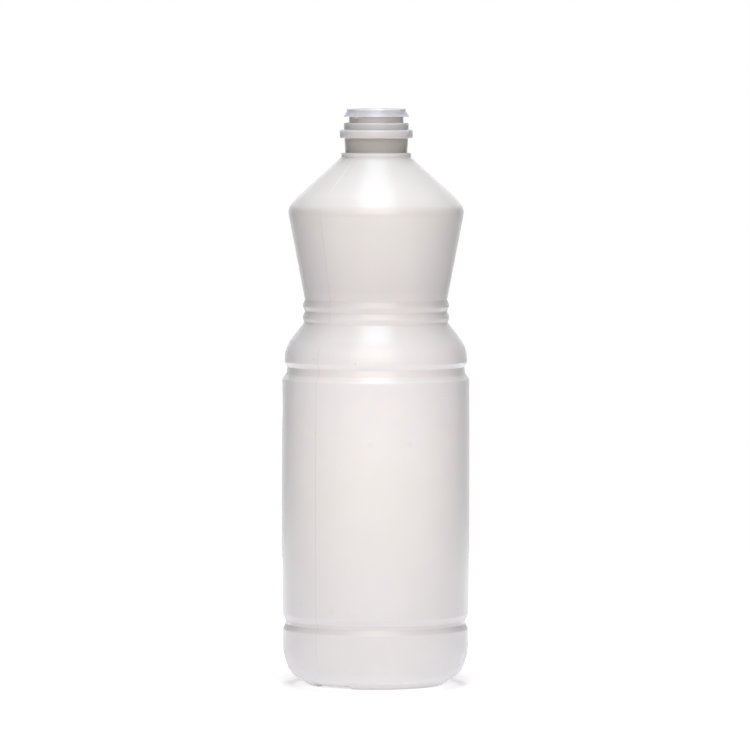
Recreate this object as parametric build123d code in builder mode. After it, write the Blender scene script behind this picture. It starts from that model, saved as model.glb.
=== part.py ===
from build123d import *

import os
from math import radians, tan

# One-litre bottle, extrusion blow moulded in one piece from natural HDPE. Millimetres.
# It stands on Z = 0 with its axis on Z and its front towards -Y.

# Blown wall
wall = 0.9

# Base: a standing ring round a pushed-up middle, inside the mark that the base insert leaves
foot_radius = 30.3
foot_width = 2.2
foot_round = 0.8
push_up = 5.5
push_up_flat = 12.0
push_up_round = 30.0
insert_radius = 34.35
insert_rise = 2.75

# Pinch-off: the standing ring is cut back where the mould halves meet, and a scar runs between
parting_angle = 50.7
pinch_width = 19.6
pinch_depth = 1.2
scar_length = 46.0
scar_width = 1.2
scar_height = 0.6

# Heel: a slow curve in from the skirt and a quicker one under it
skirt_radius = 41.7
heel_height = 24.95
heel_turn_height = 13.95
heel_turn_round = 29.0
heel_corner_radius = 38.1
heel_corner_height = 4.5
heel_corner_round = 9.8

# Lower groove, a V with a narrow floor
low_groove_depth = 1.45
low_groove_lower_flank = 2.4
low_groove_floor = 1.55
low_groove_upper_flank = 2.8
low_groove_floor_round = 0.5
low_groove_edge_round = 0.6

# Label panel, which swells a little at half height
panel_radius = 41.95
panel_height = 105.5
panel_swell = 0.15

# Upper groove: a slant up from the panel, a shallow floor and a steep upper side
high_groove_depth = 2.3
high_groove_lower_flank = 2.5
high_groove_floor = 3.0
high_groove_floor_rise = 0.45
high_groove_upper_flank = 2.2
high_groove_floor_round = 0.35
high_groove_edge_round = 0.8

# Collar and dome above the upper groove
collar_radius = 40.95
collar_height = 6.4
dome_height = 11.15
dome_round = 16.2

# Waist with two rounded ribs
waist_radius = 31.9
waist_foot_radius = 32.2
waist_round = 1.1
rib_height = 1.05
rib_flank = 2.55
rib_round = 1.75

# Upper body, which widens from the waist to the shoulder
upper_body_height = 40.85
shoulder_radius = 39.7
shoulder_round = 5.8

# Shoulder: a flatter brow at its edge, then a cone up to a small rim
brow_width = 4.5
brow_height = 5.2
brow_round = 24.0
cone_height = 17.75
rim_radius = 15.65
rim_height = 2.0
rim_round = 0.35

# Neck and the ring that the closure comes down on
neck_foot_radius = 13.85
neck_radius = 14.3
neck_height = 6.65
neck_foot_round = 0.4
ring_radius = 16.4
ring_height = 3.75
ring_top_round = 0.65
ring_bottom_round = 0.65

# Step that the closure's skirt slides over
step_radius = 14.5
step_height = 3.1
step_round = 0.45

# Undercut, snap edge and lip
undercut_radius = 12.2
undercut_height = 2.75
undercut_round = 0.25
snap_radius = 14.7
snap_edge = 0.15
snap_height = 2.0
lip_radius = 13.3
lip_height = 1.35
lip_draft = 0.1
lip_round = 0.25

# Mouth: a calibrated bore that opens out under the ring
bore_radius = 10.6
bore_length = 13.6
bore_edge = 0.4
throat_height = 3.0

# Heights of the bands above the standing plane
low_groove_z = heel_height
panel_z = low_groove_z + low_groove_lower_flank + low_groove_floor + low_groove_upper_flank
high_groove_z = panel_z + panel_height
collar_z = high_groove_z + high_groove_lower_flank + high_groove_floor + high_groove_upper_flank
dome_z = collar_z + collar_height
waist_z = dome_z + dome_height
taper_z = waist_z + 4 * rib_flank
shoulder_z = taper_z + upper_body_height
brow_z = shoulder_z + brow_height
rim_z = brow_z + cone_height
neck_z = rim_z + rim_height
ring_z = neck_z + neck_height
step_z = ring_z + ring_height
undercut_z = step_z + step_height
snap_z = undercut_z + undercut_height
lip_z = snap_z + snap_edge + snap_height
top_z = lip_z + lip_height

# The swell is one arc over nearly the whole panel, of the radius that its rise and height give
panel_arc_share = 0.9
panel_round = panel_arc_share * (panel_height / 2) ** 2 / (2 * panel_swell)

# Share of a straight run that its two roundings may take
run_use = 0.97

bore_z = top_z - bore_length
throat_z = bore_z - throat_height


def half_outline(corners):
    """Straight runs through the corners in the current line, each rounded by its own radius.

    Where the two roundings of a run don't fit on it, both give way in proportion.
    """
    points = [Vector(radius, height) for radius, height, _ in corners]
    runs = [after - before for before, after in zip(points, points[1:])]
    turns = [leave.get_angle(arrive) for arrive, leave in zip(runs, runs[1:])]
    halves = [tan(radians(turn) / 2) for turn in turns]
    tangents = [0, *(corner[2] * half for corner, half in zip(corners[1:], halves)), 0]
    fits = [
        run_use * run.length / max(first + second, run_use * run.length)
        for run, first, second in zip(runs, tangents, tangents[1:])
    ]
    rounds = [
        corner[2] * min(before, after)
        for corner, before, after in zip(corners[1:], fits, fits[1:])
    ]
    return FilletPolyline(*points, radius=rounds)


def inset(corners, distance):
    """The outline moved into the solid: each corner slides along the bisector of its two sides.

    A rounding shrinks where the outline turns towards the inside and grows where it turns away.
    """
    points = [Vector(radius, height) for radius, height, _ in corners]
    mirrored = [Vector(-point.X, point.Y) for point in (points[1], points[-2])]
    moved = []
    for before, here, after, corner in zip(
        [mirrored[0], *points], points, [*points[1:], mirrored[1]], corners
    ):
        arriving, leaving = (here - before).normalized(), (after - here).normalized()
        inward = (arriving + leaving).rotate(Axis.Z, 90) / (1 + arriving.dot(leaving))
        growth = -distance if arriving.cross(leaving).Z > 0 else distance
        place = here + inward * distance
        moved.append((place.X, place.Y, max(corner[2] + growth, 0)))
    return moved


# Outline as corners of radius, height and rounding, from the axis in the base up to the neck
base_corners = [
    (0, push_up, 0),
    (push_up_flat, push_up, push_up_round),
    (foot_radius - foot_width, 0, foot_round),
    (foot_radius, 0, foot_round),
    (insert_radius, insert_rise, 0),
    (heel_corner_radius, heel_corner_height, heel_corner_round),
    (skirt_radius, heel_turn_height, heel_turn_round),
]
low_groove_corners = [
    (skirt_radius, low_groove_z, low_groove_edge_round),
    (
        panel_radius - low_groove_depth,
        low_groove_z + low_groove_lower_flank,
        low_groove_floor_round,
    ),
    (
        panel_radius - low_groove_depth,
        low_groove_z + low_groove_lower_flank + low_groove_floor,
        low_groove_floor_round,
    ),
    (panel_radius, panel_z, low_groove_edge_round),
]
panel_corners = [
    (panel_radius + 2 * panel_swell, panel_z + panel_height / 2, panel_round),
]
high_groove_corners = [
    (panel_radius, high_groove_z, high_groove_edge_round),
    (
        panel_radius - high_groove_depth + high_groove_floor_rise,
        high_groove_z + high_groove_lower_flank,
        high_groove_edge_round,
    ),
    (
        panel_radius - high_groove_depth,
        high_groove_z + high_groove_lower_flank + high_groove_floor,
        high_groove_floor_round,
    ),
    (collar_radius, collar_z, high_groove_floor_round),
]
waist_corners = [
    (collar_radius, dome_z, dome_round),
    (waist_foot_radius, waist_z, waist_round),
    (waist_radius + rib_height, waist_z + rib_flank, rib_round),
    (waist_radius, waist_z + 2 * rib_flank, waist_round),
    (waist_radius + rib_height, waist_z + 3 * rib_flank, rib_round),
    (waist_radius, taper_z, waist_round),
]
shoulder_corners = [
    (shoulder_radius, shoulder_z, shoulder_round),
    (shoulder_radius - brow_width, brow_z, brow_round),
]
blown_corners = (
    base_corners
    + low_groove_corners
    + panel_corners
    + high_groove_corners
    + waist_corners
    + shoulder_corners
)
finish_corners = [
    (rim_radius, rim_z, 0),
    (rim_radius, neck_z, rim_round),
    (neck_foot_radius, neck_z, neck_foot_round),
    (neck_radius, ring_z, 0),
    (ring_radius, ring_z, ring_bottom_round),
    (ring_radius, step_z, ring_top_round),
    (step_radius, step_z, 0),
    (step_radius, undercut_z, step_round),
    (undercut_radius, undercut_z, undercut_round),
    (undercut_radius, snap_z, undercut_round),
    (snap_radius, snap_z, 0),
    (snap_radius, snap_z + snap_edge, 0),
    (lip_radius, lip_z, 0),
    (lip_radius - lip_draft, top_z, lip_round),
    (bore_radius + bore_edge, top_z, 0),
    (bore_radius, top_z - bore_edge, 0),
    (bore_radius, throat_z, 0),
    (0, throat_z, 0),
]
# Inside, the neck has no rim: the wall runs up from the cone and closes in to the bore
neck_wall_corners = [
    (neck_foot_radius, rim_z, neck_foot_round),
    (neck_radius, throat_z, 0),
    (0, throat_z, 0),
]
throat_corners = [
    (neck_radius - wall, throat_z, 0),
    (bore_radius, bore_z, 0),
    (0, bore_z, 0),
]
inside_corners = inset(blown_corners + neck_wall_corners, wall)[:-2] + throat_corners
# The scar hangs below the underside of the push-up by its own height
scar_corners = [
    (0, push_up - scar_height, 0),
    (push_up_flat, push_up - scar_height, push_up_round),
    (foot_radius - foot_width, -scar_height, 0),
]
scar_top = push_up + wall / 2

parting_plane = Plane.XZ.rotated((0, 0, parting_angle))
pinch_plane = Plane.XY.rotated((0, 0, parting_angle))

with BuildPart() as cavity:
    with BuildSketch(Plane.XZ):
        with BuildLine():
            inside = half_outline(inside_corners)
            Line(inside @ 1, inside @ 0)
        make_face()
    revolve(axis=Axis.Z)
    # The wall follows the recess that the pinch-off makes in the standing ring
    with BuildSketch(pinch_plane):
        Rectangle(2 * insert_radius, pinch_width + 2 * wall)
    extrude(amount=pinch_depth + wall, mode=Mode.SUBTRACT)

with BuildPart() as bottle:
    with BuildSketch(Plane.XZ):
        with BuildLine():
            half_outline(blown_corners + finish_corners)
            Line((0, throat_z), (0, push_up))
        make_face()
    revolve(axis=Axis.Z)

    # Recess across the standing ring
    with BuildSketch(pinch_plane):
        Rectangle(2 * insert_radius, pinch_width)
    extrude(amount=pinch_depth, mode=Mode.SUBTRACT)

    # Scar of the pinched parison: a low rib under the push-up, along the parting line
    with BuildSketch(parting_plane):
        with BuildLine():
            underside = half_outline(scar_corners)
            Polyline(underside @ 1, (scar_corners[-1][0], scar_top), (0, scar_top), underside @ 0)
        make_face()
        mirror(about=Plane.YZ)
        Rectangle(scar_length, 2 * scar_top, mode=Mode.INTERSECT)
    extrude(amount=scar_width / 2, both=True)

    # The blown inside, which meets the bore in the throat
    add(cavity.part, mode=Mode.SUBTRACT)

bottle.part.label = "bottle"
os.makedirs("parts", exist_ok=True)
export_step(bottle.part, "parts/bottle.step")
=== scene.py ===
from math import cos, pi, radians, sin
from types import SimpleNamespace

import bpy
import numpy as np
from bpy.props import FloatProperty, FloatVectorProperty, IntProperty, PointerProperty
from bpy.types import Operator, Panel, PropertyGroup
from mathutils import Matrix, Vector


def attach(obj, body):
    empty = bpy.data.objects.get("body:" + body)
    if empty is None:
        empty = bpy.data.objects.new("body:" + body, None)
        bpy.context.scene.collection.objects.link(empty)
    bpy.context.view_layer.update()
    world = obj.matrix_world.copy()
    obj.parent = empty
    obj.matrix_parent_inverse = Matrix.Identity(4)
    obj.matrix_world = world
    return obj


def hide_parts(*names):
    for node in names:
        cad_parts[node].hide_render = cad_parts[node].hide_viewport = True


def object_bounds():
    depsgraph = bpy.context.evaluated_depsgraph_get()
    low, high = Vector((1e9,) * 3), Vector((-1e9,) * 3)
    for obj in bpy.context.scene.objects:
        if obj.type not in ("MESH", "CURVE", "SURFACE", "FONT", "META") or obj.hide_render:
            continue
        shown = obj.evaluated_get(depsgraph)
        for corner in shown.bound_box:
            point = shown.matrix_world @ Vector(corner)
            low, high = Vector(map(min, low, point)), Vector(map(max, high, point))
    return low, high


bl_info = {
    "name": "Blown Bottle",
    "version": (1, 0, 0),
    "blender": (4, 5, 0),
    "location": "View3D > Sidebar > Bottle",
    "description": "Finishes a blown one-litre bottle of natural polyethylene and sets its studio",
    "category": "Object",
}

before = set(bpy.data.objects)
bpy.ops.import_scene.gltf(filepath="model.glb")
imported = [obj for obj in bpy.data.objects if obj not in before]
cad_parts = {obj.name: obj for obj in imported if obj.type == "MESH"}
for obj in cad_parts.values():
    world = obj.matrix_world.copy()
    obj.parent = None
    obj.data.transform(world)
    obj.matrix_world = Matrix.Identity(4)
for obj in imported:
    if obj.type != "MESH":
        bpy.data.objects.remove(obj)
cad_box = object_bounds()
standing = cad_box[0][2]
cad_top = cad_box[1][2]

MM = 0.001
node_name = "bottle"
body_name = "root"


# Small helpers for the settings and for colours


def length(name, millimetres, description):
    """A length setting, given in millimetres and kept in metres."""
    return FloatProperty(
        name=name, description=description, default=millimetres * MM, unit="LENGTH", precision=5
    )


def angle(name, degrees, description):
    """An angle setting, given in degrees and kept in radians."""
    return FloatProperty(
        name=name, description=description, default=radians(degrees), subtype="ANGLE"
    )


def factor(name, value, description):
    """A share from 0 to 1."""
    return FloatProperty(
        name=name, description=description, default=value, min=0.0, max=1.0, subtype="FACTOR"
    )


def count(name, number, least, description):
    """A whole number."""
    return IntProperty(name=name, description=description, default=number, min=least)


def linear(hex_colour):
    """An sRGB colour such as F0E8E4 as three linear values: each channel below the toe is
    divided by 12.92, and the rest is raised to the power 2.4 after the offset of 0.055."""
    srgb = [int(hex_colour[i : i + 2], 16) / 255 for i in (0, 2, 4)]
    return tuple(c / 12.92 if c <= 0.04045 else ((c + 0.055) / 1.055) ** 2.4 for c in srgb)


def colour(name, hex_colour, description):
    """A colour setting, given as sRGB hex and kept linear."""
    return FloatVectorProperty(
        name=name, description=description, default=linear(hex_colour), subtype="COLOR",
        size=3, min=0.0, max=1.0,
    )


def glow(name, value, description):
    """A radiance, where 1 renders as white."""
    return FloatProperty(name=name, description=description, default=value, min=0.0)


# Settings


class BaseSizes(PropertyGroup):
    """Standing ring, push-up, pinch-off and heel."""

    foot_radius: length("Foot radius", 30.3, "Outer radius of the standing ring")
    foot_width: length("Foot width", 2.2, "Width of the standing ring")
    foot_round: length("Foot rounding", 0.8, "Rounding of the standing ring's edges")
    push_up: length("Push-up", 5.5, "Height of the pushed-up middle")
    push_up_flat: length("Push-up flat", 12.0, "Radius of the push-up's flat")
    push_up_round: length("Push-up rounding", 30.0, "Rounding between the flat and the slope")
    insert_radius: length("Insert radius", 34.35, "Radius of the base insert's mark")
    insert_rise: length("Insert rise", 2.75, "Height of the base insert's mark")
    parting_angle: angle("Parting angle", 50.7, "Turn of the parting line from the X axis")
    pinch_width: length("Pinch width", 19.6, "Width of the pinch-off recess")
    pinch_depth: length("Pinch depth", 1.2, "Depth of the pinch-off recess in the foot")
    scar_length: length("Scar length", 46.0, "Length of the pinch-off scar")
    scar_width: length("Scar width", 1.2, "Width of the pinch-off scar")
    scar_height: length("Scar height", 0.6, "Height of the pinch-off scar")
    skirt_radius: length("Skirt radius", 41.7, "Radius of the skirt over the heel")
    heel_height: length("Heel height", 24.95, "Top of the skirt")
    heel_turn_height: length("Heel turn height", 13.95, "Height where the skirt turns in")
    heel_turn_round: length("Heel turn rounding", 29.0, "Rounding of that turn")
    heel_corner_radius: length("Heel corner radius", 38.1, "Radius of the heel's lower corner")
    heel_corner_height: length("Heel corner height", 4.5, "Height of the heel's lower corner")
    heel_corner_round: length("Heel corner rounding", 9.8, "Rounding of that corner")


class PanelSizes(PropertyGroup):
    """Label panel and the groove on each side of it."""

    panel_radius: length("Panel radius", 41.95, "Radius of the label panel at its ends")
    panel_height: length("Panel height", 105.5, "Height of the label panel")
    panel_swell: length("Panel swell", 0.15, "Swell of the panel at half height")
    panel_round: length("Panel rounding", 8348.0, "Radius of the panel's arc from end to end")
    low_depth: length("Lower groove depth", 1.45, "Depth of the lower groove")
    low_lower_flank: length("Lower groove, lower flank", 2.4, "Height of its lower flank")
    low_floor: length("Lower groove, floor", 1.55, "Height of its floor")
    low_upper_flank: length("Lower groove, upper flank", 2.8, "Height of its upper flank")
    low_floor_round: length("Lower groove, floor rounding", 0.5, "Rounding at its floor")
    low_edge_round: length("Lower groove, edge rounding", 0.6, "Rounding at its edges")
    high_depth: length("Upper groove depth", 2.3, "Depth of the upper groove")
    high_lower_flank: length("Upper groove, lower flank", 2.5, "Height of its lower flank")
    high_floor: length("Upper groove, floor", 3.0, "Height of its floor")
    high_floor_rise: length("Upper groove, floor rise", 0.45, "How much shallower it starts")
    high_upper_flank: length("Upper groove, upper flank", 2.2, "Height of its upper flank")
    high_floor_round: length("Upper groove, floor rounding", 0.35, "Rounding at its floor")
    high_edge_round: length("Upper groove, edge rounding", 0.8, "Rounding at its edges")


class UpperSizes(PropertyGroup):
    """Collar, dome, waist ribs, taper, shoulder, cone and rim."""

    collar_radius: length("Collar radius", 40.95, "Radius of the collar under the dome")
    collar_height: length("Collar height", 6.4, "Height of the collar")
    dome_height: length("Dome height", 11.15, "Height of the dome")
    dome_round: length("Dome rounding", 16.2, "Rounding of the dome")
    waist_radius: length("Waist radius", 31.9, "Radius between the ribs")
    waist_foot_radius: length("Waist foot radius", 32.2, "Radius where the dome ends")
    waist_round: length("Waist rounding", 1.1, "Rounding in the valleys")
    rib_height: length("Rib height", 1.05, "How far a rib stands out")
    rib_flank: length("Rib flank", 2.55, "Height of half a rib")
    rib_round: length("Rib rounding", 1.75, "Rounding of a rib's crest")
    taper_height: length("Taper height", 40.85, "Height from the ribs to the shoulder")
    shoulder_radius: length("Shoulder radius", 39.7, "Radius of the shoulder's corner")
    shoulder_round: length("Shoulder rounding", 5.8, "Rounding of the shoulder's corner")
    brow_width: length("Brow width", 4.5, "Width of the brow above the shoulder")
    brow_height: length("Brow height", 5.2, "Height of the brow")
    brow_round: length("Brow rounding", 24.0, "Rounding between the brow and the cone")
    cone_height: length("Cone height", 17.75, "Height of the cone")
    rim_radius: length("Rim radius", 15.65, "Radius of the rim under the neck")
    rim_height: length("Rim height", 2.0, "Height of the rim")
    rim_round: length("Rim rounding", 0.35, "Rounding of the rim's edge")


class NeckSizes(PropertyGroup):
    """Neck, ring, step, undercut, snap edge, lip and bore."""

    neck_foot_radius: length("Neck foot radius", 13.85, "Radius of the neck at its foot")
    neck_radius: length("Neck radius", 14.3, "Radius of the neck under the ring")
    neck_height: length("Neck height", 6.65, "Height of the neck")
    neck_foot_round: length("Neck foot rounding", 0.4, "Rounding at the neck's foot")
    ring_radius: length("Ring radius", 16.4, "Radius of the ring")
    ring_height: length("Ring height", 3.75, "Height of the ring")
    ring_round: length("Ring rounding", 0.65, "Rounding of the ring's edges")
    step_radius: length("Step radius", 14.5, "Radius of the step over the ring")
    step_height: length("Step height", 3.1, "Height of the step")
    step_round: length("Step rounding", 0.45, "Rounding of the step's edge")
    undercut_radius: length("Undercut radius", 12.2, "Radius of the undercut")
    undercut_height: length("Undercut height", 2.75, "Height of the undercut")
    undercut_round: length("Undercut rounding", 0.25, "Rounding in the undercut")
    snap_radius: length("Snap edge radius", 14.7, "Radius of the snap edge")
    snap_edge: length("Snap edge", 0.15, "Height of the snap edge's land")
    snap_height: length("Snap cone height", 2.0, "Height of the cone over the snap edge")
    lip_radius: length("Lip radius", 13.3, "Radius of the lip")
    lip_height: length("Lip height", 1.35, "Height of the lip")
    lip_draft: length("Lip draft", 0.1, "How much the lip draws in")
    lip_round: length("Lip rounding", 0.25, "Rounding of the lip's edge")
    bore_radius: length("Bore radius", 10.6, "Radius of the calibrated bore")
    bore_length: length("Bore length", 13.6, "Length of the calibrated bore")
    bore_edge: length("Bore edge", 0.4, "Bevel of the mouth's edge")
    throat_height: length("Throat height", 3.0, "Height over which the bore opens out")


class BlownWall(PropertyGroup):
    """What blowing leaves on the wall."""

    wall: length("Wall", 0.9, "Thickness of the blown wall")
    least_round: length("Least rounding", 0.12, "Rounding of the edges that the mould has sharp")
    ridge_height: length("Parting ridge height", 0.03, "How far the parting line stands out")
    ridge_width: length("Parting ridge width", 0.16, "Half width of the parting line")
    flash_height: length("Flash height", 0.3, "Flash that is left on the snap edge")
    flash_width: length("Flash width", 0.45, "Half width of the flash")
    flash_lift: length("Flash lift", 0.4, "How far over the snap edge the flash is thickest")
    flash_reach: length("Flash reach", 0.9, "How far the flash runs up and down")
    lip_wave: length("Lip wave", 0.1, "How uneven the trimmed lip is")
    ovality: length("Ovality", 0.06, "How far the panel is out of round")
    sink_depth: length("Sink depth", 0.2, "Depth of the soft sink on the left of the panel")
    sink_height: length("Sink middle", 124.5, "Height of the middle of the sink")
    sink_reach: length("Sink reach", 6.0, "How far the sink runs up and down")
    sink_turn: angle("Sink turn", 16.0, "How far the sink runs round the panel")
    edge_ease: length("Edge ease", 0.12, "Softness of the edges of the recess and the scar")
    around: count("Columns", 126, 24, "Evenly spaced columns round the bottle")
    arc_points: count("Arc points", 7, 3, "Points on each rounding of the outside")
    inner_arc_points: count("Inner arc points", 3, 3, "Points on each rounding of the inside")
    spacing: length("Row spacing", 3.0, "Longest step along the outline")
    inner_spacing: length("Inner row spacing", 8.0, "Longest step along the inside of the wall")


class FinishColours(PropertyGroup):
    """Colours and gloss of the polyethylene."""

    thin: colour("Thin wall", "FBFBFA", "Dome and upper panel, where the wall is stretched most")
    even: colour("Even wall", "EFEFEC", "Cone, shoulder and middle of the panel")
    # The thick colour is also painted shade at the foot of the downward-facing taper.
    thick: colour("Thick wall", "E1E0E0", "Waist and ring")
    # The base colour also lightens the undercut under the snap edge, as painted light.
    base: colour("Base wall", "E3E3E3", "Skirt, heel and undercut")
    finish: colour("Finish", "D1D4D7", "Lip, snap edge and step")
    # The neck's dark colour is also painted shade under the ring.
    neck: colour("Neck", "CAC9C4", "Neck under the ring, the thickest wall")
    # The parting line's darkness is partly its denser polymer and partly painted shade of its
    # ridge.
    line: factor("Parting line", 0.1, "How much the parting line darkens the upright walls")
    # A painted highlight: the parting ridge catching the top light on the cone.
    line_painted_highlight: factor("Parting line, glint", 0.12, "How much it brightens the cone")
    speck: factor("Speck", 0.3, "How much a speck of burnt polymer darkens")
    speck_radius: length("Speck radius", 0.4, "Radius of a speck")
    spot: factor("Soft spot", 0.03, "How much a soft spot darkens")
    spot_radius: length("Soft spot radius", 2.0, "Radius of a soft spot")
    roughness: factor("Roughness", 0.25, "Satin that the blasted mould leaves")
    milkiness: factor("Milkiness", 1.0, "Share of the light that goes into the wall")
    depth: length("Scatter depth", 0.6, "How far light travels in the wall")
    finish_depth: length("Finish scatter depth", 4.0, "How far it travels in the thick neck")
    cloud: length("Cloud", 25.0, "Distance over which the wall's thickness wanders")
    cloud_shade: factor("Cloud, shade", 0.015, "How much that lightens and darkens the wall")
    streak: length("Streak", 1.5, "Distance between the streaks that the die leaves up the wall")
    streak_share: factor("Streak, share", 0.5, "Height of a streak against the grain's")
    grain: length("Grain", 0.6, "Grain of the blasted mould, drawn twice as coarse so it shows")
    relief: length("Relief", 0.03, "Height of the grain")
    relief_share: factor("Relief, share", 0.12, "How much of that height shows")


class StudioSettings(PropertyGroup):
    """Camera, lamps and floor."""

    camera_distance: length("Camera distance", 3000.0, "Distance of the camera from the axis")
    camera_height: length("Camera height", 300.63, "Height of the camera over the floor")
    aim_height: length("Aim height", 138.83, "Height on the axis that the camera looks at")
    view_width: length("View width", 336.5, "Width of the picture at the bottle's axis")
    camera_roll: angle("Camera roll", 0.09, "Roll of the camera about its line of sight")
    camera_side: length("Camera aside", -0.40, "How far the camera and its aim stand aside")
    lamp_distance: length("Lamp distance", 1500.0, "Distance of the softboxes from the bottle")
    top_lift: angle("Top, elevation", 77.0, "Elevation of the softbox over the bottle")
    top_width: length("Top width", 700.0, "Its width")
    top_length: length("Top length", 1000.0, "Its length towards the camera")
    top: glow("Top softbox", 4.85, "Its radiance")
    top_tint: colour("Top, tint", "E5EFFF", "Its colour")
    back_lift: angle("Back, elevation", 115.0, "Elevation of the softbox over the back")
    back_size: length("Back size", 600.0, "Its side")
    back: glow("Back softbox", 8.0, "Its radiance")
    back_tint: colour("Back, tint", "FFF4FF", "Its colour")
    front_lift: angle("Front, elevation", 30.0, "Elevation of the front softbox")
    front_size: length("Front size", 1400.0, "Its side")
    front: glow("Front softbox", 2.75, "Its radiance")
    front_tint: colour("Front, tint", "FFF4EB", "Its colour")
    ambient: glow("Ambient", 0.0, "Radiance of the room around")
    room_level: factor("Room", 0.2, "How white the room's sides are in reflections")
    table_size: length("Table size", 1400.0, "Side of the square table")
    table_colour: colour("Table, colour", "EAEAEA", "Colour of the acrylic")
    table_glow: glow("Table", 0.4, "Radiance of the light that comes up through the table")
    table_shown: glow("Table as seen", 0.45, "The table's glow where the camera sees it")
    # Painted light: the table is seen brighter right under the foot.
    table_painted_light: glow("Table under the foot", 0.26, "What its glow adds there, as it is seen")
    # Painted shadow: the table is seen dimmer round the foot.
    table_painted_shadow: glow("Table round the foot", 0.14, "What its glow lacks there, as it is seen")
    table_reach: length("Lit table", 350.0, "How far from the bottle the table is lit")
    table_tint: colour("Table, tint", "FBF8FF", "Colour of that light")
    # Painted shade: the glow that lights the bottle from below is cut near the foot.
    table_painted_shade: length("Table shade", 27.0, "How far from its axis the bottle shades the glow")


# Outline and surface


def band_heights(base, panel, upper, neck):
    """Heights where the bands start, added up from the standing plane to the top of the lip."""
    z = SimpleNamespace()
    z.low_floor = base.heel_height + panel.low_lower_flank
    z.panel = z.low_floor + panel.low_floor + panel.low_upper_flank
    z.high = z.panel + panel.panel_height
    z.high_floor = z.high + panel.high_lower_flank
    z.collar = z.high_floor + panel.high_floor + panel.high_upper_flank
    z.dome = z.collar + upper.collar_height
    z.waist = z.dome + upper.dome_height
    z.taper = z.waist + 4 * upper.rib_flank
    z.shoulder = z.taper + upper.taper_height
    z.brow = z.shoulder + upper.brow_height
    z.rim = z.brow + upper.cone_height
    z.neck = z.rim + upper.rim_height
    z.ring = z.neck + neck.neck_height
    z.step = z.ring + neck.ring_height
    z.undercut = z.step + neck.step_height
    z.snap = z.undercut + neck.undercut_height
    z.lip = z.snap + neck.snap_edge + neck.snap_height
    z.top = z.lip + neck.lip_height
    return z


def body_corners(base, panel, upper, levels):
    """Corners of the outer outline as rows of radius, height and rounding.

    They run from the middle of the base along the foot, heel, groove, panel, groove, collar,
    dome, ribs and shoulder up to the brow.
    """
    low_floor_radius = panel.panel_radius - panel.low_depth
    swell_radius = panel.panel_radius + 2 * panel.panel_swell
    high_floor_radius = panel.panel_radius - panel.high_depth
    crest_radius = upper.waist_radius + upper.rib_height
    return [
        (0.0, base.push_up, 0.0),
        (base.push_up_flat, base.push_up, base.push_up_round),
        (base.foot_radius - base.foot_width, 0.0, base.foot_round),
        (base.foot_radius, 0.0, base.foot_round),
        (base.insert_radius, base.insert_rise, 0.0),
        (base.heel_corner_radius, base.heel_corner_height, base.heel_corner_round),
        (base.skirt_radius, base.heel_turn_height, base.heel_turn_round),
        (base.skirt_radius, base.heel_height, panel.low_edge_round),
        (low_floor_radius, levels.low_floor, panel.low_floor_round),
        (low_floor_radius, levels.low_floor + panel.low_floor, panel.low_floor_round),
        (panel.panel_radius, levels.panel, panel.low_edge_round),
        (swell_radius, levels.panel + panel.panel_height / 2, panel.panel_round),
        (panel.panel_radius, levels.high, panel.high_edge_round),
        (high_floor_radius + panel.high_floor_rise, levels.high_floor, panel.high_edge_round),
        (high_floor_radius, levels.high_floor + panel.high_floor, panel.high_floor_round),
        (upper.collar_radius, levels.collar, panel.high_floor_round),
        (upper.collar_radius, levels.dome, upper.dome_round),
        (upper.waist_foot_radius, levels.waist, upper.waist_round),
        (crest_radius, levels.waist + upper.rib_flank, upper.rib_round),
        (upper.waist_radius, levels.waist + 2 * upper.rib_flank, upper.waist_round),
        (crest_radius, levels.waist + 3 * upper.rib_flank, upper.rib_round),
        (upper.waist_radius, levels.taper, upper.waist_round),
        (upper.shoulder_radius, levels.shoulder, upper.shoulder_round),
        (upper.shoulder_radius - upper.brow_width, levels.brow, upper.brow_round),
    ]


def neck_corners(neck, upper, levels):
    """Corners of the rim, neck, ring, step, undercut, snap edge, lip and bore, going up and in.

    The bore runs down again from the lip.
    """
    return [
        (upper.rim_radius, levels.rim, 0.0),
        (upper.rim_radius, levels.neck, upper.rim_round),
        (neck.neck_foot_radius, levels.neck, neck.neck_foot_round),
        (neck.neck_radius, levels.ring, 0.0),
        (neck.ring_radius, levels.ring, neck.ring_round),
        (neck.ring_radius, levels.step, neck.ring_round),
        (neck.step_radius, levels.step, 0.0),
        (neck.step_radius, levels.undercut, neck.step_round),
        (neck.undercut_radius, levels.undercut, neck.undercut_round),
        (neck.undercut_radius, levels.snap, neck.undercut_round),
        (neck.snap_radius, levels.snap, 0.0),
        (neck.snap_radius, levels.snap + neck.snap_edge, 0.0),
        (neck.lip_radius, levels.lip, 0.0),
        (neck.lip_radius - neck.lip_draft, levels.top, neck.lip_round),
        (neck.bore_radius + neck.bore_edge, levels.top, 0.0),
        (neck.bore_radius, levels.top - neck.bore_edge, 0.0),
        (neck.bore_radius, levels.top - neck.bore_length, 0.0),
    ]


def inset(corners, distance):
    """The outline moved into the wall: each corner slides along the bisector of its two sides.

    A side's inward normal is its direction turned a quarter to the left. The corner moves by
    the sum of its sides' normals, divided by one plus the cosine of the turn, times the
    distance. A rounding shrinks where the outline turns to the left and grows elsewhere.
    """
    rows = np.array(corners)
    points = rows[:, :2]
    mirror = np.array([-1.0, 1.0])
    padded = np.vstack([points[1] * mirror, points, points[-2] * mirror])
    runs = np.diff(padded, axis=0)
    runs /= np.linalg.norm(runs, axis=1)[:, None]
    arriving, leaving = runs[:-1], runs[1:]
    total = arriving + leaving
    turn_cosine = (arriving * leaving).sum(axis=1)
    inward = np.stack([-total[:, 1], total[:, 0]], axis=1) / (1 + turn_cosine)[:, None]
    left_turn = arriving[:, 0] * leaving[:, 1] - arriving[:, 1] * leaving[:, 0] > 0
    rounding = rows[:, 2] + np.where(left_turn, -distance, distance)
    return np.column_stack([points + inward * distance, np.maximum(rounding, 0)])


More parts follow.
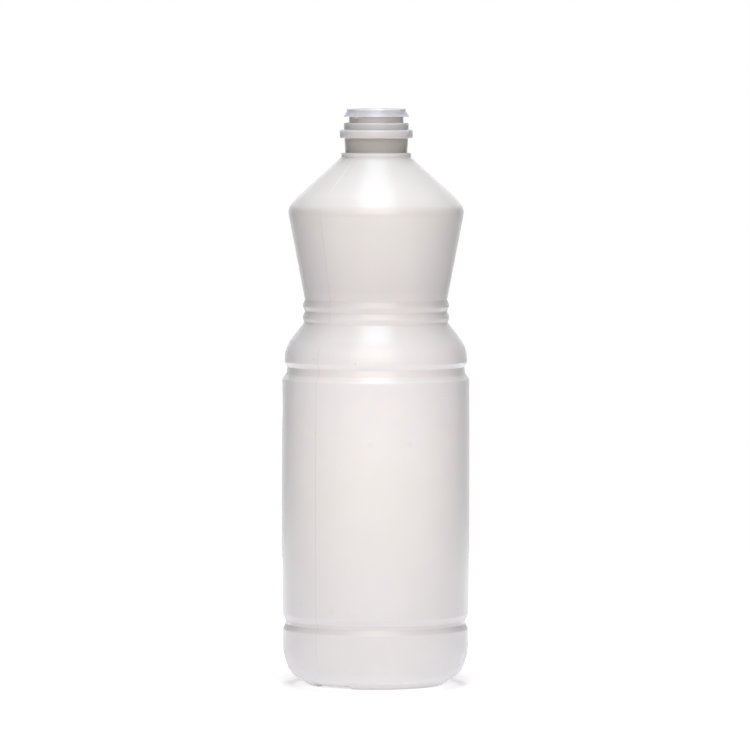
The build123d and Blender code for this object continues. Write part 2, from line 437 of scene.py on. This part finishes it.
def rounded(corners, spacing, arc_steps, guarded=True, run_use=0.97):
    """Points along straight runs through the corners, with an arc at each corner.

    An arc touches both runs at the rounding times the tangent of half the turn from the
    corner, and its points turn evenly about its centre. Where the two arcs of a run don't fit
    on it, both give way in proportion. Straight runs get steps no longer than the spacing and,
    where they are guarded, a point beside each arc that keeps their shading flat.
    """
    rows = np.array(corners)
    points, rounding = rows[:, :2], rows[1:-1, 2]
    runs = np.diff(points, axis=0)
    lengths = np.linalg.norm(runs, axis=1)
    ways = runs / lengths[:, None]
    cross = ways[:-1, 0] * ways[1:, 1] - ways[:-1, 1] * ways[1:, 0]
    turns = np.arctan2(cross, (ways[:-1] * ways[1:]).sum(axis=1))
    halves = np.tan(np.abs(turns) / 2)
    tangents = np.concatenate([[0], rounding * halves, [0]])
    room = run_use * lengths
    fits = room / np.maximum(tangents[:-1] + tangents[1:], room)
    rounding = rounding * np.minimum(fits[:-1], fits[1:])
    reach = rounding * halves
    side = np.sign(turns)
    start = points[1:-1] - ways[:-1] * reach[:, None]
    normal = np.stack([-ways[:-1, 1], ways[:-1, 0]], axis=1) * side[:, None]
    centre = start + normal * rounding[:, None]
    spoke = start - centre
    share = np.linspace(0, 1, arc_steps)
    swing = turns[:, None] * share[None, :]
    arcs = np.stack(
        [
            centre[:, :1] + spoke[:, :1] * np.cos(swing) - spoke[:, 1:] * np.sin(swing),
            centre[:, 1:] + spoke[:, :1] * np.sin(swing) + spoke[:, 1:] * np.cos(swing),
        ],
        axis=2,
    )
    line = np.vstack([points[:1], arcs.reshape(-1, 2), points[-1:]])
    along = np.concatenate([[0], np.cumsum(np.linalg.norm(np.diff(line, axis=0), axis=1))])
    arc_ends = along[1:-1].reshape(-1, arc_steps)[:, [0, -1]]
    guard, least_step = 0.12 * MM, 1e-8
    extra = np.arange(0, along[-1], spacing)
    if guarded:
        extra = np.concatenate([extra, arc_ends[:, 0] - guard, arc_ends[:, 1] + guard])
    gap = np.abs(extra[:, None] - along[None, :]).min(axis=1)
    extra = extra[(gap > 0.5 * guard) & (extra > 0) & (extra < along[-1])]
    places = np.unique(np.concatenate([along, extra]))
    places = places[np.concatenate([[True], np.diff(places) > least_step])]
    return np.column_stack([np.interp(places, along, line[:, k]) for k in (0, 1)])


def columns(even, parting_angle, recess_angles):
    """Angles round the bottle: evenly spaced ones, closer ones at both parting lines and at
    the edges of the pinch-off recess. An even one that is too near another is left out."""
    ridge_steps = np.radians([0.1, 0.23, 0.4, 0.7, 1.4])
    near = np.concatenate([-ridge_steps, [0], ridge_steps])
    sides = parting_angle + np.array([0, np.pi])
    lines = (sides[:, None] + near[None, :]).ravel()
    edges = (sides[:, None] + np.concatenate([-recess_angles, recess_angles])[None, :]).ravel()
    free = np.arange(even) * 2 * np.pi / even
    close = np.concatenate([lines, edges]) % (2 * np.pi)
    off = np.abs((free[:, None] - close[None, :] + np.pi) % (2 * np.pi) - np.pi).min(axis=1)
    least_gap = np.radians(0.15)
    return np.sort(np.concatenate([free[off > least_gap], close]))


def smooth_step(low, high, value):
    """0 below low, 1 above high, and a cubic ease between them."""
    t = np.clip((value - low) / (high - low), 0, 1)
    return t * t * (3 - 2 * t)


def bell(value, middle, width):
    """A bell curve: e to the minus square of the distance from its middle in widths."""
    return np.exp(-(((value - middle) / width) ** 2))


def wall_line(base, panel, upper, neck, blown, levels):
    """Radius and height of the wall's points: up the outside, over the lip and down the inside.

    The inside is the outside moved in by the wall, without the rim and the finish, which are
    solid. The inset's last two corners only give the neck's direction, so they are left out.
    """
    outside = body_corners(base, panel, upper, levels)
    throat_z = levels.top - neck.bore_length - neck.throat_height
    inner_neck = [
        (neck.neck_foot_radius, levels.rim, neck.neck_foot_round),
        (neck.neck_radius, throat_z, 0.0),
        (0.0, throat_z, 0.0),
    ]
    inside = inset(outside + inner_neck, blown.wall)[:-2]
    throat = [(neck.neck_radius - blown.wall, throat_z, 0.0)]
    outer = np.array(outside + neck_corners(neck, upper, levels) + throat)
    outer[1:-1, 2] = np.maximum(outer[1:-1, 2], blown.least_round)
    inner = throat + inside[::-1].tolist()
    outer_line = rounded(outer, blown.spacing, blown.arc_points)
    inner_line = rounded(inner, blown.inner_spacing, blown.inner_arc_points, guarded=False)
    return np.vstack([outer_line, inner_line[1:]])


def bottle_surface(base, panel, upper, neck, blown, levels):
    """Points of the whole wall on a grid of outline rows and columns, outside first.

    A point is (radius cos a, radius sin a, height), where the outline gives radius and height
    and the column gives the angle a. Along the outline's normal it then moves out by the
    parting ridge, a bell of the distance from the parting plane. The panel is out of round by a
    cosine of twice the angle, and has one soft sink. The lip rises and falls by two waves.
    Below the recess's depth, points within half its width of the parting plane are lifted to
    it. The scar lowers the push-up within its width and length.
    """
    line = wall_line(base, panel, upper, neck, blown, levels)
    radius, height = line[:, 0], line[:, 1]
    way = np.gradient(line, axis=0)
    way /= np.linalg.norm(way, axis=1)[:, None]
    out_r, out_z = way[:, 1], -way[:, 0]
    top = height.argmax()
    is_outer = (np.arange(len(line)) <= top)[:, None]

    # The recess's straight edges cross the rings of the foot at other angles on each ring
    crossings, outer_margin, inner_margin = 9, 1.2 * MM, 1.0 * MM
    outermost = base.foot_radius + outer_margin
    innermost = base.foot_radius - base.foot_width - inner_margin
    rings = np.linspace(outermost, innermost, crossings)
    recess_angles = np.arcsin(base.pinch_width / 2 / rings)
    a = columns(blown.around, base.parting_angle, recess_angles)[None, :]
    r, z = radius[:, None] + 0 * a, height[:, None] + 0 * a
    off = r * np.sin(a - base.parting_angle)
    along = r * np.cos(a - base.parting_angle)

    # Parting ridge, with a little flash left on the snap edge
    ridge = blown.ridge_height * bell(off, 0, blown.ridge_width)
    ridge *= smooth_step(base.insert_rise, base.heel_corner_height, z)
    flash = blown.flash_height * bell(off, 0, blown.flash_width)
    flash = flash * bell(z, levels.snap + blown.flash_lift, blown.flash_reach) * (along < 0)
    stand = np.where(is_outer, ridge + flash, 0)

    # Out of round, and the soft sink on the left of the panel
    fade = 20 * MM
    body = smooth_step(base.insert_rise, base.heel_height, z)
    body *= 1 - smooth_step(levels.brow - fade, levels.brow, z)
    bend = blown.ovality * np.cos(2 * (a - base.parting_angle)) * body
    sink = blown.sink_depth * bell(a, np.pi, blown.sink_turn)
    shift = bend - sink * bell(z, blown.sink_height, blown.sink_reach)

    # Trimmed lip: one wave round it, and a smaller one that turns three times as fast
    wave = blown.lip_wave * (0.6 * np.sin(a + 0.6) + 0.4 * np.sin(3 * a + 2.0))
    lift = wave * smooth_step(height[top] - neck.lip_height, height[top], z)

    x = (r + shift + stand * out_r[:, None]) * np.cos(a)
    y = (r + shift + stand * out_r[:, None]) * np.sin(a)
    z = z + stand * out_z[:, None] + lift

    # Pinch-off recess across the foot, inside and outside
    ease = blown.edge_ease
    half = base.pinch_width / 2 + np.where(is_outer, 0, blown.wall)
    floor = base.pinch_depth + np.where(is_outer, 0, blown.wall)
    within = 1 - smooth_step(half - ease, half + ease, np.abs(off))
    low = (z < floor) & (r < base.insert_radius)
    z = np.where(low, z + (floor - z) * within, z)

    # Scar under the push-up
    half_width, half_length = base.scar_width / 2, base.scar_length / 2
    scar = 1 - smooth_step(half_width - ease, half_width + ease, np.abs(off))
    scar *= 1 - smooth_step(half_length - ease, half_length + ease, np.abs(along))
    under = is_outer & (height[:, None] < base.push_up + MM)
    z = z - np.where(under, base.scar_height * scar, 0)
    return np.stack([x, y, z], axis=2)


def closed_mesh(name, grid):
    """A mesh of the grid of rows and columns, closed round the columns.

    The first and the last row lie on the axis, and each becomes one point. Faces run from a
    column to the next and then up a row, so that they look away from the wall.
    """
    rows, cols = grid.shape[:2]
    points = np.vstack([grid[0, :1], grid[1:-1].reshape(-1, 3), grid[-1, :1]])
    here = 1 + np.arange((rows - 2) * cols).reshape(rows - 2, cols)
    beside = np.roll(here, -1, axis=1)
    quads = np.stack([here[:-1], beside[:-1], beside[1:], here[1:]], axis=2).reshape(-1, 4)
    last = len(points) - 1
    first_fan = np.column_stack([0 * here[0], beside[0], here[0]])
    last_fan = np.column_stack([here[-1], beside[-1], 0 * here[-1] + last])
    mesh = bpy.data.meshes.new(name)
    mesh.from_pydata(points.tolist(), [], quads.tolist() + first_fan.tolist() + last_fan.tolist())
    mesh.polygons.foreach_set("use_smooth", np.ones(len(mesh.polygons), dtype=bool))
    mesh.update()
    return mesh


# Material


def add_node(tree, kind, inputs=None, **settings):
    """Adds one node. Settings are its own properties, and inputs are a value or a socket each,
    by name or by number."""
    made = tree.nodes.new(kind)
    for name, value in settings.items():
        setattr(made, name, value)
    for key, value in (inputs or {}).items():
        if isinstance(value, bpy.types.NodeSocket):
            tree.links.new(value, made.inputs[key])
        else:
            made.inputs[key].default_value = value
    return made


def wall_tones_painted_light_and_shade(finish, panel, levels):
    """Heights and colours of the wall, from the foot up. Between two heights the colour eases.

    A stretched wall is thin and light, and the neck is thick and dull. The bands also hold
    painted shade and light: the neck is darkened further as painted shade under the ring, the
    foot of the downward-facing taper as painted shade, and the undercut under the snap edge is
    lightened as painted light.
    """
    edge, ease = 0.1 * MM, 5 * MM
    return [
        (0.0, finish.base),
        (levels.panel, finish.base),
        (levels.panel + panel.panel_height / 2, finish.even),
        (levels.high, finish.thin),
        (levels.dome, finish.thin),
        # Painted shade at the foot of the downward-facing taper
        (levels.taper + ease, finish.thick),
        (levels.shoulder, finish.even),
        (levels.neck - edge, finish.even),
        # Painted shade on the neck under the ring, as well as its thick wall
        (levels.neck + edge, finish.neck),
        (levels.ring - edge, finish.neck),
        (levels.ring + edge, finish.thick),
        (levels.step - edge, finish.thick),
        (levels.step + edge, finish.finish),
        (levels.undercut - edge, finish.finish),
        # Painted light in the undercut under the snap edge
        (levels.undercut + edge, finish.base),
        (levels.snap - edge, finish.base),
        (levels.snap + edge, finish.finish),
    ]


def seam_tone_and_painted_highlight(base, panel, levels, unseen):
    """Heights and strengths of the parting line, where 0 is dark and 1 is a painted highlight on
    the cone. The dark is partly denser polymer and partly painted shade of the ridge.
    """
    return [
        (0.0, unseen),
        (base.heel_corner_height, unseen),
        (base.heel_turn_height, 0.15),
        (panel.panel_height, 0.0),
        (levels.dome, 0.05),
        (levels.dome + 3 * MM, unseen),
        (levels.waist, unseen),
        (levels.waist + MM, 0.2),
        (levels.shoulder - 6 * MM, 0.0),
        (levels.shoulder, unseen),
        (levels.brow + 2 * MM, unseen),
        (levels.brow + 4 * MM, 1.0),
        (levels.rim - MM, 1.0),
        (levels.rim, unseen),
    ]


def ramp(node, bands):
    """Gives a colour ramp over the bottle's height its stops."""
    stops = node.color_ramp.elements
    for number, (height, shade) in enumerate(bands):
        stop = stops[number] if number < len(stops) else stops.new(height / cad_top)
        stop.position = height / cad_top
        stop.color = (*shade, 1)


def marked_places(finish, panel, upper):
    """Specks of burnt polymer and soft spots: each a point on the wall, a radius and a shade.

    A row gives its turn from the front in degrees, its height in millimetres and the radius
    of its band.
    """
    speck = (finish.speck_radius, finish.speck)
    spot = (finish.spot_radius, finish.spot)
    places = [
        (-42.7, 147.5, upper.collar_radius, speck),
        (-12.9, 145.8, upper.collar_radius, speck),
        (-39.5, 114.6, panel.panel_radius, speck),
        (-52.1, 37.5, panel.panel_radius, speck),
        (61.2, 35.4, panel.panel_radius, speck),
        (21.1, 110.0, panel.panel_radius, spot),
        (-3.3, 110.0, panel.panel_radius, spot),
        (-28.0, 35.6, panel.panel_radius, spot),
    ]
    return [
        ((wide * sin(radians(turn)), -wide * cos(radians(turn)), height * MM), radius, shade)
        for turn, height, wide, (radius, shade) in places
    ]


def blown_polyethylene(finish, base, panel, upper, levels):
    """Natural high density polyethylene, extrusion blow moulded.

    The eye gets a milky wall that glows where light comes through it, a satin skin from the
    blasted mould, faint streaks up the wall from the die, and a denser line where the mould
    halves meet. The colour by height also holds painted shade and painted light, and the
    parting line's glint on the cone is a painted highlight.
    """
    material = bpy.data.materials.new("natural polyethylene, blow moulded")
    material.use_nodes = True
    tree = material.node_tree
    tree.nodes.clear()
    place = add_node(tree, "ShaderNodeTexCoord").outputs["Object"]
    height = add_node(tree, "ShaderNodeSeparateXYZ", {"Vector": place}).outputs["Z"]
    share = add_node(tree, "ShaderNodeMapRange", {"Value": height, "From Max": cad_top})

    # Colour by height, a little lighter and darker where the wall's thickness wanders
    # The height bands hold painted shade and painted light as well as the wall's tones
    bands = add_node(tree, "ShaderNodeValToRGB", {"Fac": share.outputs[0]})
    ramp(bands, wall_tones_painted_light_and_shade(finish, panel, levels))
    cloud = add_node(
        tree, "ShaderNodeTexNoise", {"Vector": place, "Scale": 1 / finish.cloud, "Detail": 2.0}
    )
    uneven = add_node(
        tree, "ShaderNodeMapRange",
        {"Value": cloud.outputs["Fac"], "From Min": 0.3, "From Max": 0.7,
         "To Min": 1 - finish.cloud_shade, "To Max": 1 + finish.cloud_shade},
    )
    body = add_node(
        tree, "ShaderNodeMix",
        {"Factor": 1.0, "A": bands.outputs["Color"], "B": uneven.outputs[0]},
        data_type="RGBA", blend_type="MULTIPLY",
    )

    # Parting line, by the distance from the parting plane, with a painted highlight on the cone
    across = (-sin(base.parting_angle), cos(base.parting_angle), 0.0)
    off = add_node(tree, "ShaderNodeVectorMath", {0: place, 1: across}, operation="DOT_PRODUCT")
    aside = add_node(tree, "ShaderNodeMath", {0: off.outputs["Value"]}, operation="ABSOLUTE")
    on_line = add_node(
        tree, "ShaderNodeMapRange",
        {"Value": aside.outputs[0], "From Min": 0.1 * MM, "From Max": 0.3 * MM,
         "To Min": 1.0, "To Max": 0.0},
    )
    unseen = finish.line / (finish.line + finish.line_painted_highlight)
    seam = add_node(tree, "ShaderNodeValToRGB", {"Fac": share.outputs[0]})
    ramp(seam, [(z, (level,) * 3) for z, level in seam_tone_and_painted_highlight(base, panel, levels, unseen)])
    seam_level = add_node(
        tree, "ShaderNodeMapRange",
        {"Value": seam.outputs["Color"],
         "To Min": 1 - finish.line, "To Max": 1 + finish.line_painted_highlight},
    )
    line = add_node(
        tree, "ShaderNodeMix",
        {"Factor": on_line.outputs[0], "A": 1.0, "B": seam_level.outputs[0]},
    )

    # Specks and soft spots, each by the distance from its middle
    shade = line.outputs[0]
    for point, radius, darker in marked_places(finish, panel, upper):
        span = add_node(tree, "ShaderNodeVectorMath", {0: place, 1: point}, operation="DISTANCE")
        mark = add_node(
            tree, "ShaderNodeMapRange",
            {"Value": span.outputs["Value"], "From Min": 0.3 * radius, "From Max": radius,
             "To Min": 1 - darker, "To Max": 1.0},
            interpolation_type="SMOOTHSTEP",
        )
        both = add_node(
            tree, "ShaderNodeMath", {0: shade, 1: mark.outputs[0]}, operation="MULTIPLY"
        )
        shade = both.outputs[0]
    tinted = add_node(
        tree, "ShaderNodeMix",
        {"Factor": 1.0, "A": body.outputs["Result"], "B": shade},
        data_type="RGBA", blend_type="MULTIPLY",
    )

    # Relief: streaks that run up the wall, and the grain
    upright = add_node(tree, "ShaderNodeMapping", {"Vector": place, "Scale": (1.0, 1.0, 0.04)})
    streak = add_node(
        tree, "ShaderNodeTexNoise",
        {"Vector": upright.outputs[0], "Scale": 1 / finish.streak, "Detail": 3.0},
    )
    grain = add_node(
        tree, "ShaderNodeTexNoise", {"Vector": place, "Scale": 1 / finish.grain, "Detail": 2.0}
    )
    relief = add_node(
        tree, "ShaderNodeMath",
        {0: streak.outputs["Fac"], 1: finish.streak_share, 2: grain.outputs["Fac"]},
        operation="MULTIPLY_ADD",
    )
    bump = add_node(
        tree, "ShaderNodeBump",
        {"Height": relief.outputs[0], "Strength": finish.relief_share, "Distance": finish.relief},
    )

    # Light travels further in the thick neck and finish, and red travels furthest
    reach = add_node(
        tree, "ShaderNodeMapRange",
        {"Value": height, "From Min": levels.rim - 4 * MM, "From Max": levels.rim,
         "To Min": finish.depth, "To Max": finish.finish_depth},
    )
    shader = add_node(
        tree, "ShaderNodeBsdfPrincipled",
        {
            "Base Color": tinted.outputs["Result"],
            "Roughness": finish.roughness,
            "IOR": 1.54,
            "Subsurface Weight": finish.milkiness,
            "Subsurface Radius": (1.0, 0.92, 0.86),
            "Subsurface Scale": reach.outputs[0],
            "Normal": bump.outputs["Normal"],
        },
    )
    output = add_node(tree, "ShaderNodeOutputMaterial")
    tree.links.new(shader.outputs[0], output.inputs["Surface"])
    return material


def white_table(studio):
    """White translucent acrylic, lit from below round the bottle, that keeps soft shadows.

    Its glow starts round the foot, cut near it as painted shade of the bottle, and eases out at
    the end of the lit part. The camera and reflections see it brighter right under the foot,
    as painted light, dimmer round it, as a painted shadow, and as white as the room further
    out.
    """
    material = bpy.data.materials.new("white acrylic table")
    material.use_nodes = True
    tree = material.node_tree
    tree.nodes.clear()
    place = add_node(tree, "ShaderNodeTexCoord").outputs["Object"]
    far = add_node(tree, "ShaderNodeVectorMath", {0: place}, operation="LENGTH")
    shade, reach = studio.table_painted_shade, studio.table_reach
    rings = {}
    # By distance from the axis: the glow is cut near the foot as painted shade, and the camera and
    # reflections see painted light under the foot and a painted shadow round it
    for name, start, end, before, after in (
        ("glow", 0.6 * shade, 1.4 * shade, 0.0, studio.table_glow),
        ("end", 0.9 * reach, 1.1 * reach, 1.0, 0.0),
        ("shown", 0.4 * reach, reach, studio.table_shown, 1.0),
        ("under", 1.25 * shade, 1.5 * shade, studio.table_painted_light, 0.0),
        ("dim", 1.5 * shade, 2.5 * shade, -studio.table_painted_shadow, 0.0),
    ):
        ring = add_node(
            tree, "ShaderNodeMapRange",
            {"Value": far.outputs["Value"], "From Min": start, "From Max": end,
             "To Min": before, "To Max": after},
            interpolation_type="SMOOTHSTEP",
        )
        rings[name] = ring.outputs[0]
    light = add_node(
        tree, "ShaderNodeMath", {0: rings["glow"], 1: rings["end"]}, operation="MULTIPLY"
    )
    shown = add_node(tree, "ShaderNodeMath", {0: rings["shown"], 1: rings["dim"]}, operation="ADD")
    bright = add_node(
        tree, "ShaderNodeMath", {0: shown.outputs[0], 1: rings["under"]}, operation="ADD"
    )
    path = add_node(tree, "ShaderNodeLightPath").outputs
    seen = add_node(
        tree, "ShaderNodeMath",
        {0: path["Is Camera Ray"], 1: path["Is Glossy Ray"]}, operation="MAXIMUM",
    )
    level = add_node(
        tree, "ShaderNodeMix",
        {"Factor": seen.outputs[0], "A": light.outputs[0], "B": bright.outputs[0]},
    )
    hue = add_node(
        tree, "ShaderNodeMix",
        {"Factor": seen.outputs[0], "A": (*studio.table_tint, 1), "B": (1, 1, 1, 1)},
        data_type="RGBA",
    )
    matt = add_node(tree, "ShaderNodeBsdfDiffuse", {"Color": (*studio.table_colour, 1)})
    lit = add_node(
        tree, "ShaderNodeEmission", {"Color": hue.outputs["Result"], "Strength": level.outputs[0]}
    )
    both = add_node(tree, "ShaderNodeAddShader", {0: matt.outputs[0], 1: lit.outputs[0]})
    output = add_node(tree, "ShaderNodeOutputMaterial")
    tree.links.new(both.outputs[0], output.inputs["Surface"])
    return material


def white_room(ambient, room_level):
    """World: white where it is seen, and an even ambient light elsewhere.

    Reflections show the white backdrop behind the table, up to 12 degrees off its middle, and
    from 45 degrees off a greyer room.
    """
    world = bpy.data.worlds.new("white room")
    bpy.context.scene.world = world
    world.use_nodes = True
    tree = world.node_tree
    tree.nodes.clear()
    path = add_node(tree, "ShaderNodeLightPath").outputs
    direct = add_node(
        tree, "ShaderNodeMath",
        {0: path["Is Camera Ray"], 1: path["Is Transmission Ray"]}, operation="MAXIMUM",
    )
    seen = add_node(
        tree, "ShaderNodeMath",
        {0: direct.outputs[0], 1: path["Is Glossy Ray"]}, operation="MAXIMUM",
    )
    way = add_node(tree, "ShaderNodeTexCoord").outputs["Generated"]
    split = add_node(tree, "ShaderNodeSeparateXYZ", {"Vector": way})
    behind = add_node(
        tree, "ShaderNodeMapRange",
        {"Value": split.outputs["Y"], "From Min": cos(radians(45)), "From Max": cos(radians(12)),
         "To Min": room_level, "To Max": 1.0},
        interpolation_type="SMOOTHSTEP",
    )
    level = add_node(
        tree, "ShaderNodeMix",
        {"Factor": path["Is Glossy Ray"], "A": 1.0, "B": behind.outputs[0]},
    )
    white = (1, 1, 1, 1)
    light = add_node(tree, "ShaderNodeBackground", {"Color": white, "Strength": ambient})
    shown = add_node(tree, "ShaderNodeBackground", {"Color": white, "Strength": level.outputs[0]})
    mix = add_node(
        tree, "ShaderNodeMixShader", {0: seen.outputs[0], 1: light.outputs[0], 2: shown.outputs[0]}
    )
    output = add_node(tree, "ShaderNodeOutputWorld")
    tree.links.new(mix.outputs[0], output.inputs["Surface"])


def softbox(name, place, aim, sides, radiance, tint):
    """An oblong lamp at a place, turned to its aim.

    Its power is pi times its area times its radiance.
    """
    data = bpy.data.lights.new(name, "AREA")
    data.shape = "RECTANGLE"
    data.size, data.size_y = sides
    data.energy = pi * sides[0] * sides[1] * radiance
    data.color = tint
    lamp = bpy.data.objects.new(name, data)
    lamp.location = place
    lamp.visible_camera = False
    lamp.rotation_euler = (aim - place).to_track_quat("-Z", "Y").to_euler()
    bpy.context.scene.collection.objects.link(lamp)


# Operators


class BOTTLE_OT_blow(Operator):
    """Make the finished bottle, which stands for the plain one"""

    bl_idname = "bottle.blow"
    bl_label = "Blow the bottle"

    def execute(self, context):
        scene = context.scene
        base, panel = scene.bottle_base, scene.bottle_panel
        upper, neck = scene.bottle_upper, scene.bottle_neck
        levels = band_heights(base, panel, upper, neck)
        grid = bottle_surface(base, panel, upper, neck, scene.bottle_wall, levels)
        mesh = closed_mesh("blown_bottle", grid)
        finish = scene.bottle_finish
        mesh.materials.append(blown_polyethylene(finish, base, panel, upper, levels))
        piece = bpy.data.objects.new("blown_bottle", mesh)
        scene.collection.objects.link(piece)
        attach(piece, body_name)
        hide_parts(node_name)
        return {"FINISHED"}


class BOTTLE_OT_studio(Operator):
    """Set up the white floor, the lamps and the camera"""

    bl_idname = "bottle.studio"
    bl_label = "Set up the studio"

    def execute(self, context):
        scene = context.scene
        studio = scene.bottle_studio
        scene.view_settings.view_transform = "Standard"
        white_room(studio.ambient, studio.room_level)

        mesh = bpy.data.meshes.new("floor")
        reach = studio.table_size / 2
        corners = [(-reach, -reach, 0), (reach, -reach, 0), (reach, reach, 0), (-reach, reach, 0)]
        mesh.from_pydata(corners, [], [(0, 1, 2, 3)])
        mesh.materials.append(white_table(studio))
        floor = bpy.data.objects.new("floor", mesh)
        floor.location.z = standing
        scene.collection.objects.link(floor)

        top_sides = (studio.top_width, studio.top_length)
        back_sides = (studio.back_size, studio.back_size)
        front_sides = (studio.front_size, studio.front_size)
        middle = Vector((0.0, 0.0, cad_top / 2))
        for name, lift, sides, radiance, tint in (
            ("top softbox", studio.top_lift, top_sides, studio.top, studio.top_tint),
            ("back softbox", studio.back_lift, back_sides, studio.back, studio.back_tint),
            ("front softbox", studio.front_lift, front_sides, studio.front, studio.front_tint),
        ):
            place = middle + studio.lamp_distance * Vector((0.0, -cos(lift), sin(lift)))
            softbox(name, place, middle, sides, radiance, tint)

        data = bpy.data.cameras.new("camera")
        camera = bpy.data.objects.new("camera", data)
        scene.collection.objects.link(camera)
        scene.camera = camera
        place = Vector((studio.camera_side, -studio.camera_distance, studio.camera_height))
        aim = Vector((studio.camera_side, 0.0, studio.aim_height))
        sight = aim - place
        data.sensor_fit = "HORIZONTAL"
        data.sensor_width = 36.0
        data.lens = data.sensor_width * sight.length / studio.view_width
        data.clip_start, data.clip_end = 0.1, 20.0
        turn = sight.to_track_quat("-Z", "Y").to_matrix().to_4x4()
        camera.matrix_world = (
            Matrix.Translation(place) @ turn @ Matrix.Rotation(studio.camera_roll, 4, "Z")
        )
        return {"FINISHED"}


class BOTTLE_PT_settings(Panel):
    """Settings of the bottle and its studio"""

    bl_label = "Blown bottle"
    bl_idname = "BOTTLE_PT_settings"
    bl_space_type = "VIEW_3D"
    bl_region_type = "UI"
    bl_category = "Bottle"

    def draw(self, context):
        scene = context.scene
        for group in settings:
            box = self.layout.box()
            box.label(text=group.bl_rna.description)
            held = getattr(scene, settings[group])
            for name in held.bl_rna.properties.keys():
                if name not in ("rna_type", "name"):
                    box.prop(held, name)
        for operator in (BOTTLE_OT_blow, BOTTLE_OT_studio):
            self.layout.operator(operator.bl_idname)


settings = {
    BaseSizes: "bottle_base",
    PanelSizes: "bottle_panel",
    UpperSizes: "bottle_upper",
    NeckSizes: "bottle_neck",
    BlownWall: "bottle_wall",
    FinishColours: "bottle_finish",
    StudioSettings: "bottle_studio",
}
classes = (*settings, BOTTLE_OT_blow, BOTTLE_OT_studio, BOTTLE_PT_settings)


def register():
    for made in classes:
        bpy.utils.register_class(made)
    for group, name in settings.items():
        setattr(bpy.types.Scene, name, PointerProperty(type=group))


def unregister():
    for name in settings.values():
        delattr(bpy.types.Scene, name)
    for made in reversed(classes):
        bpy.utils.unregister_class(made)


def main():
    register()
    bpy.ops.bottle.studio()
    bpy.ops.bottle.blow()


if __name__ == "__main__":
    main()
